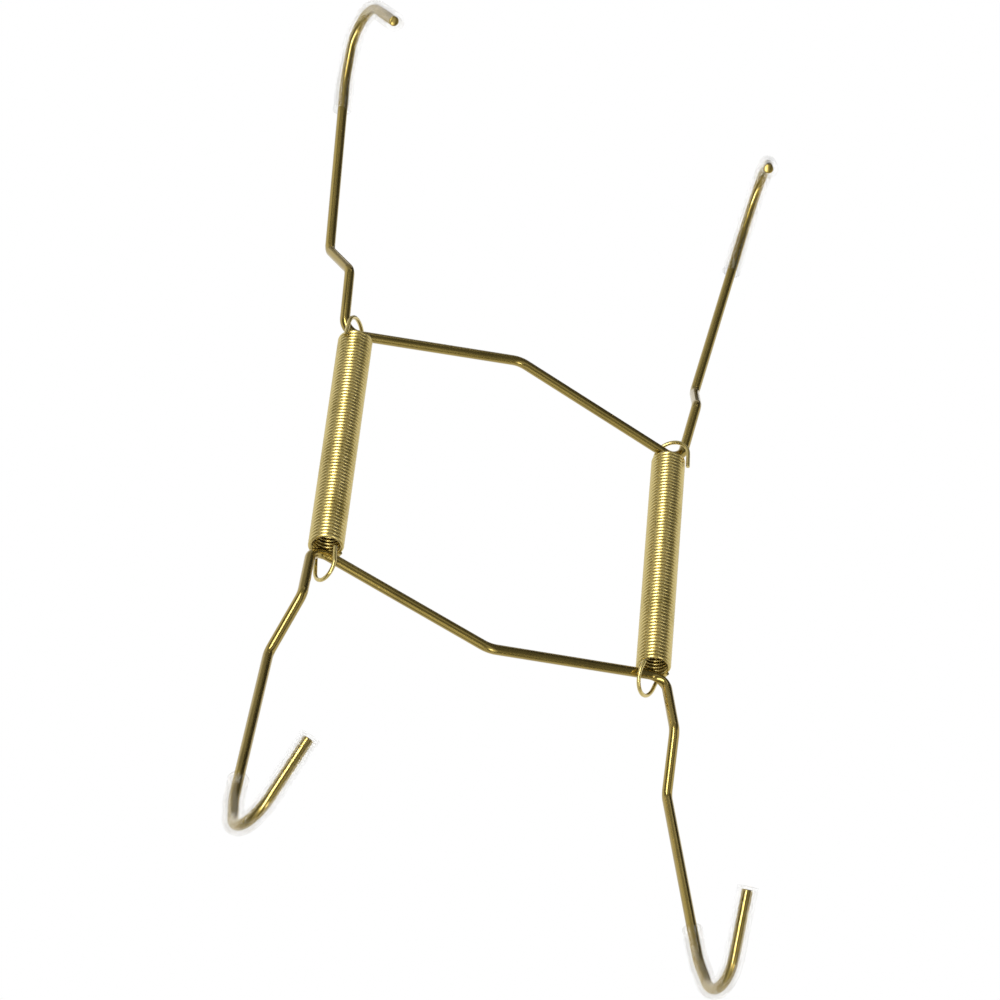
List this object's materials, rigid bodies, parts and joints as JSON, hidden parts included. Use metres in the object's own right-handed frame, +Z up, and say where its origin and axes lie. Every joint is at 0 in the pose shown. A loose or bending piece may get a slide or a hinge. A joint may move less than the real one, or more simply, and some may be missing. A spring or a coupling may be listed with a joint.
{
  "type": "wire plate hanger",
  "caption": "Brass-plated wire plate hanger: an upper and a lower bent frame with sleeved rim hooks, drawn together by coil springs, hung on a nail at the upper frame's peak.",
  "frame": {"origin": "nail seat: the underside of the peak in the middle of the upper wire", "axes": "+Z up along the wall, -Y towards the plate, +Y towards the wall, +X to the right seen from the front"},
  "size_m": [0.0973, 0.0322, 0.2088],
  "materials": {
    "frame_wire": "bright brass plating on drawn steel wire",
    "spring_wire": "bright brass plating on spring wire",
    "clear_sleeve": "clear soft vinyl tube"
  },
  "bodies": {
    "upper_frame": {"upper_wire": "frame_wire", "upper_left_sleeve": "clear_sleeve", "upper_right_sleeve": "clear_sleeve"},
    "spring_upper_ends": {"left_spring": "spring_wire"},
    "spring_lower_ends": {"right_spring": "spring_wire"},
    "lower_frame": {"lower_wire": "frame_wire", "lower_left_sleeve": "clear_sleeve", "lower_right_sleeve": "clear_sleeve"}
  },
  "joints": [
    {"name": "upper_loop_swing", "type": "hinge", "parent": "upper_frame", "child": "spring_upper_ends", "pos_m": [0, 0.00089, -0.00745], "axis": [1, 0, 0], "range_deg": [-15, 40]},
    {"name": "spring_stretch", "type": "slide", "parent": "spring_upper_ends", "child": "spring_lower_ends", "axis": [0, 0, -1], "range_m": [0, 0.06], "stiffness_N_per_m": 560, "deforming": ["left_spring", "right_spring"]},
    {"name": "lower_loop_swing", "type": "hinge", "parent": "spring_lower_ends", "child": "lower_frame", "pos_m": [0, 0.00089, -0.06371], "axis": [1, 0, 0], "range_deg": [-50, 15]}
  ]
}
